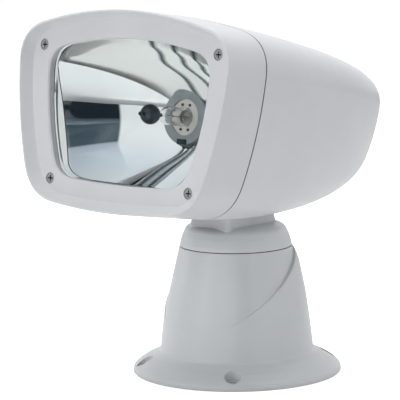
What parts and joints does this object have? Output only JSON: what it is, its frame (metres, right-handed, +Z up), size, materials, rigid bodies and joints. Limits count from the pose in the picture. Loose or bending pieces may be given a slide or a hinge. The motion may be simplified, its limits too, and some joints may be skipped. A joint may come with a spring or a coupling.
{
  "type": "searchlight",
  "caption": "Marine searchlight: a tilting lamp head with a front glass and mirror reflector on a swivelling neck and a conical deck pedestal with a bolt-down flange.",
  "frame": {"origin": "centre of the flange's underside, on the pan axis, which is also the centre of the four deck bolt holes", "axes": "+Z up along the pan axis, -Y the way the lamp looks at rest, +X to the side, along the tilt axis"},
  "size_m": [0.1994, 0.2325, 0.2659],
  "materials": {
    "housing": "glossy off-white moulding",
    "rubber": "matt black",
    "steel": "plain stainless",
    "brass": "turned",
    "acetal": "dark grey moulding",
    "metal_plate": "satin",
    "motor_can": "satin grey",
    "board": "green laminate",
    "black_plastic": "matt",
    "clear_glass": "clear",
    "reflector_metal": "mirror bright",
    "collar_metal": "satin grey",
    "ceramic": "cream",
    "dark_metal": "satin dark grey"
  },
  "bodies": {
    "base": {"pedestal": "housing", "base_gasket": "rubber", "base_plate": "acetal", "cable_grommet": "rubber", "base_plate_screws": "steel", "control_board": "board", "board_relays": "black_plastic", "board_connector": "black_plastic", "board_screws": "steel", "pan_bush": "brass", "swivel_seal": "rubber", "motor_plate": "metal_plate", "motor_plate_screws": "steel", "pan_motor": "motor_can"},
    "pan_pinion": {"pan_pinion": "brass"},
    "turret": {"turret": "housing", "thrust_washer": "steel", "pan_gear": "acetal", "pan_circlip": "steel", "pan_shaft": "steel", "tilt_shaft": "steel", "tilt_sector": "acetal", "sector_spacers": "steel", "tilt_washers": "steel", "tilt_circlips": "steel"},
    "head": {"rear_shell": "housing", "bezel": "housing", "seam_gasket": "rubber", "bezel_screws": "steel", "shell_inserts": "brass", "lens_gasket": "rubber", "lens_glass": "clear_glass", "reflector": "reflector_metal", "reflector_screws": "steel", "lamp_collar": "collar_metal", "lamp_base": "ceramic", "lamp_rivets": "dark_metal", "bulb_glass": "clear_glass", "bulb_filament": "steel", "glare_cap": "dark_metal", "lamp_socket": "black_plastic", "lamp_terminals": "brass", "lamp_clip": "steel", "tilt_bracket": "metal_plate", "tilt_bushes": "brass", "bracket_screws": "steel", "tilt_motor": "motor_can"},
    "tilt_pinion": {"tilt_pinion": "brass"}
  },
  "joints": [
    {"name": "pan", "type": "hinge", "parent": "base", "child": "turret", "pos_m": [0, 0, 0.0895], "axis": [0, 0, 1], "range_deg": [-180, 180]},
    {"name": "tilt", "type": "hinge", "parent": "turret", "child": "head", "pos_m": [0, 0, 0.158], "axis": [1, 0, 0], "range_deg": [-10, 16]},
    {"name": "pan_drive", "type": "hinge", "parent": "base", "child": "pan_pinion", "pos_m": [0, 0.027, 0.07], "axis": [0, 0, 1], "range_deg": [-640, 640]},
    {"name": "tilt_drive", "type": "hinge", "parent": "head", "child": "tilt_pinion", "pos_m": [0, 0.02968, 0.15362], "axis": [1, 0, 0], "range_deg": [-45, 80]}
  ],
  "couplings": [
    {"joint": "pan_drive", "follows": "pan", "ratio": -3.5},
    {"joint": "tilt_drive", "follows": "tilt", "ratio": 4}
  ]
}
